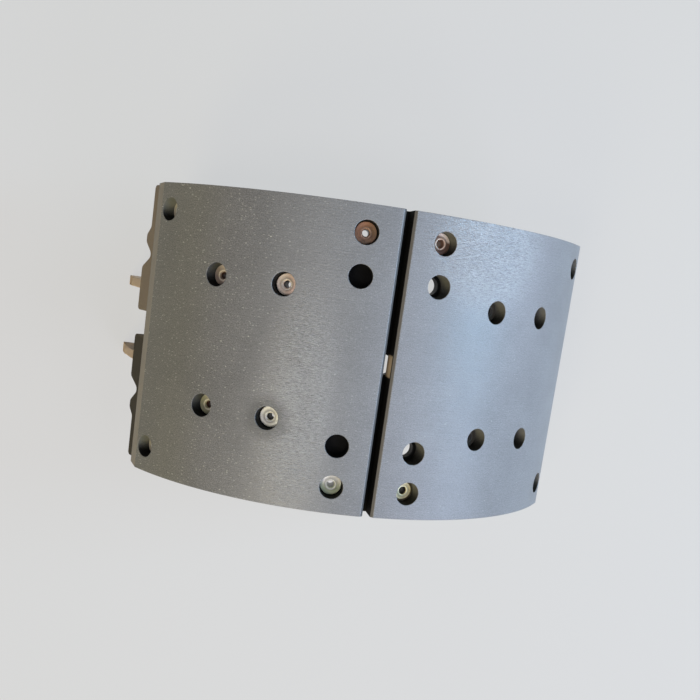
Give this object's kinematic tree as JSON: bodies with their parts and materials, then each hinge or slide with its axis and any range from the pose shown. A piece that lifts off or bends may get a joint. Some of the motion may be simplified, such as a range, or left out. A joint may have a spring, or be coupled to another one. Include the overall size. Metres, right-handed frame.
{
  "type": "drum brake shoe",
  "caption": "Heavy-vehicle drum brake shoe: cast shoe with two webs and two riveted lining blocks with bevelled ends.",
  "frame": {"origin": "on the floor under the shoe, midway between the toes of the webs and midway across the lining", "axes": "+Y along the drum's axis, +Z towards the crown of the lining, +X towards the cam end"},
  "size_m": [0.39, 0.22, 0.2129],
  "materials": {
    "casting_paint": "satin black-brown paint over cast iron",
    "lining": "ground friction material, matt",
    "rivet_metal": "tarnished plated steel",
    "pin_steel": "oiled steel"
  },
  "bodies": {
    "root": {"shoe_casting": "casting_paint", "anchor_end_lining": "lining", "cam_end_lining": "lining", "return_spring_pin": "pin_steel", "anchor_end_rivet_1": "rivet_metal", "anchor_end_rivet_2": "rivet_metal", "anchor_end_rivet_3": "rivet_metal", "anchor_end_rivet_4": "rivet_metal", "anchor_end_rivet_5": "rivet_metal", "anchor_end_rivet_6": "rivet_metal", "anchor_end_rivet_7": "rivet_metal", "anchor_end_rivet_8": "rivet_metal", "cam_end_rivet_1": "rivet_metal", "cam_end_rivet_2": "rivet_metal", "cam_end_rivet_3": "rivet_metal", "cam_end_rivet_4": "rivet_metal", "cam_end_rivet_5": "rivet_metal", "cam_end_rivet_6": "rivet_metal", "cam_end_rivet_7": "rivet_metal", "cam_end_rivet_8": "rivet_metal"}
  },
  "joints": []
}
